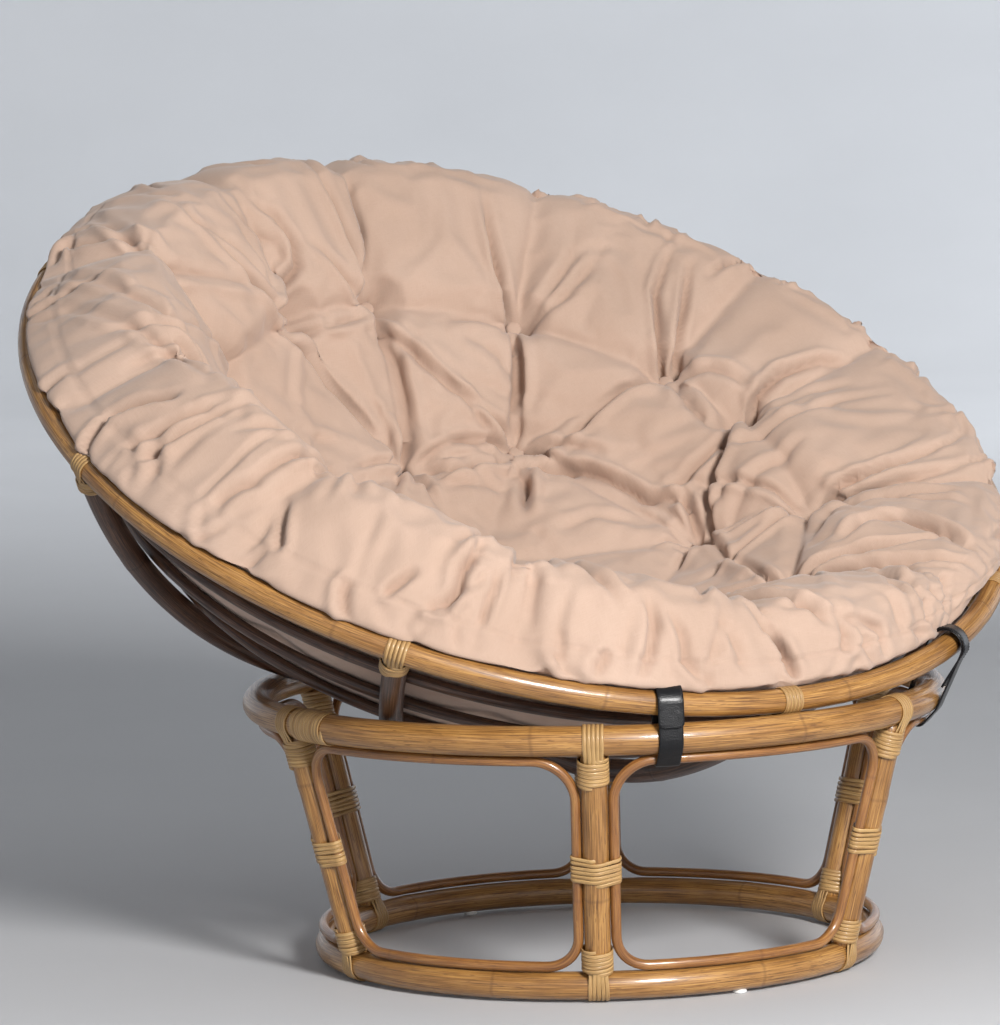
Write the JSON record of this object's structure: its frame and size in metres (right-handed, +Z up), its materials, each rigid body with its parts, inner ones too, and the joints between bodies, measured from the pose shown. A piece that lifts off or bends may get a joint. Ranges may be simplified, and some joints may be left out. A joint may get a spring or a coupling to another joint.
{
  "type": "papasan chair",
  "caption": "Round bowl chair: a tilted rattan bowl with a tufted cotton pad rests in a hoop base of bound poles.",
  "frame": {"origin": "on the floor, under the middle of the whole chair's bounding box", "axes": "+X to the sitter's left, which is the chair's right side seen from the front, +Y to the back where the rim is highest, +Z up"},
  "size_m": [1.1352, 1.0282, 0.8606],
  "materials": {
    "pole_rattan": "varnished honey brown rattan, satin",
    "dark_rattan": "stained dark brown rattan, satin",
    "cane": "thin varnished cane, satin",
    "split_cane": "wound strips of split cane, satin",
    "glides": "white moulded plastic",
    "straps": "black leather, glossy, stitched",
    "cushion_cotton": "blush beige cotton, matte"
  },
  "bodies": {
    "base": {"upper_ring": "pole_rattan", "lower_ring": "pole_rattan", "leg_1": "pole_rattan", "leg_2": "pole_rattan", "leg_3": "pole_rattan", "leg_4": "pole_rattan", "leg_5": "pole_rattan", "leg_6": "pole_rattan", "top_binding_1": "split_cane", "top_binding_2": "split_cane", "top_binding_3": "split_cane", "top_binding_4": "split_cane", "top_binding_5": "split_cane", "top_binding_6": "split_cane", "foot_binding_1": "split_cane", "foot_binding_2": "split_cane", "foot_binding_3": "split_cane", "foot_binding_4": "split_cane", "foot_binding_5": "split_cane", "foot_binding_6": "split_cane", "mid_winding_1": "split_cane", "mid_winding_2": "split_cane", "mid_winding_3": "split_cane", "mid_winding_4": "split_cane", "mid_winding_5": "split_cane", "mid_winding_6": "split_cane", "window_loop_1": "cane", "window_loop_2": "cane", "window_loop_3": "cane", "window_loop_4": "cane", "window_loop_5": "cane", "window_loop_6": "cane", "glide_1": "glides", "glide_2": "glides", "glide_3": "glides", "glide_4": "glides"},
    "bowl": {"rim": "pole_rattan", "rib_1": "dark_rattan", "rib_2": "dark_rattan", "rib_3": "dark_rattan", "rib_4": "dark_rattan", "rib_5": "dark_rattan", "rib_6": "dark_rattan", "rib_7": "dark_rattan", "rib_8": "dark_rattan", "rib_binding_1": "split_cane", "rib_binding_2": "split_cane", "rib_binding_3": "split_cane", "rib_binding_4": "split_cane", "rib_binding_5": "split_cane", "rib_binding_6": "split_cane", "rib_binding_7": "split_cane", "rib_binding_8": "split_cane", "hoop_1": "dark_rattan", "hoop_2": "dark_rattan", "hoop_3": "dark_rattan", "hoop_4": "dark_rattan", "strap_1": "straps", "strap_2": "straps"},
    "cushion": {"cushion": "cushion_cotton"}
  },
  "joints": [
    {"name": "bowl_tilt", "type": "hinge", "parent": "base", "child": "bowl", "pos_m": [0, -0.12849, 0.83334], "axis": [-1, 0, 0], "range_deg": [0, 27.3], "deforming": ["strap_1", "strap_2"]},
    {"name": "cushion_lift", "type": "slide", "parent": "bowl", "child": "cushion", "axis": [0, -0.4587, 0.8886], "range_m": [0, 0.4]}
  ]
}
